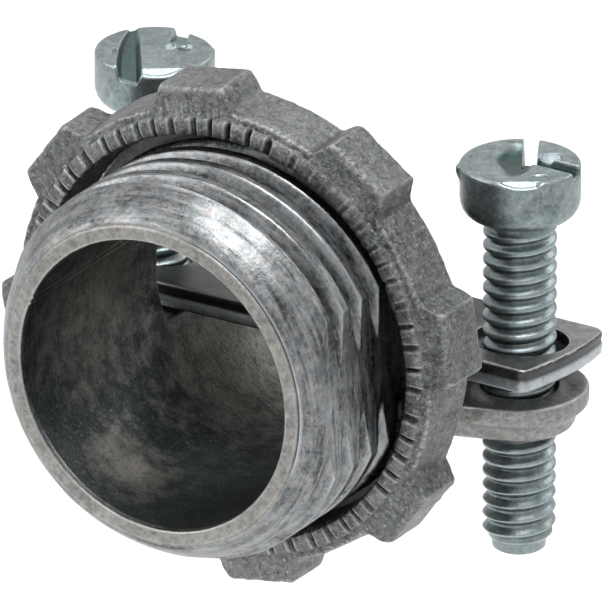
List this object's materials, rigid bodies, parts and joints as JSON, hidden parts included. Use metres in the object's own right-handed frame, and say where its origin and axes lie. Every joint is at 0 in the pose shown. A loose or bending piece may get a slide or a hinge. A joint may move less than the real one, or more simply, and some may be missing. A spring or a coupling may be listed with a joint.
{
  "type": "two-screw clamp cable connector",
  "caption": "Die-cast cable connector for a box knockout: threaded nose with locknut, open saddle and a flat clamp strap drawn down by two screws.",
  "frame": {"origin": "on the bore's axis, in the plane of the shoulder's front face, which seats against the box wall", "axes": "-Y out of the threaded nose, +Z along the clamp screws towards their heads, +X to the right when looking into the nose"},
  "size_m": [0.0294, 0.0224, 0.0276],
  "materials": {
    "die_cast_zinc": "as-cast zinc alloy, smooth and lightly smeared, satin grey",
    "rough_cast_zinc": "as-cast zinc alloy, grainy mottled grey",
    "sheared_steel": "stamped strip with a bright zinc plate",
    "zinc_plated_steel": "bright zinc plate with a blue-green passivation tint"
  },
  "bodies": {
    "connector": {"connector_body": "die_cast_zinc"},
    "locknut": {"locknut": "rough_cast_zinc"},
    "strap": {"clamp_strap": "sheared_steel"},
    "left_screw": {"screw_left": "zinc_plated_steel"},
    "right_screw": {"screw_right": "zinc_plated_steel"}
  },
  "joints": [
    {"name": "locknut_travel", "type": "slide", "parent": "connector", "child": "locknut", "axis": [0, -1, 0], "range_m": [0, 0.008]},
    {"name": "strap_lift", "type": "slide", "parent": "connector", "child": "strap", "axis": [0, 0, 1], "range_m": [0, 0.0035]},
    {"name": "left_screw_travel", "type": "slide", "parent": "connector", "child": "left_screw", "axis": [0, 0, 1], "range_m": [-0.0044, 0.006]},
    {"name": "right_screw_travel", "type": "slide", "parent": "connector", "child": "right_screw", "axis": [0, 0, 1], "range_m": [-0.003, 0.0074]}
  ]
}
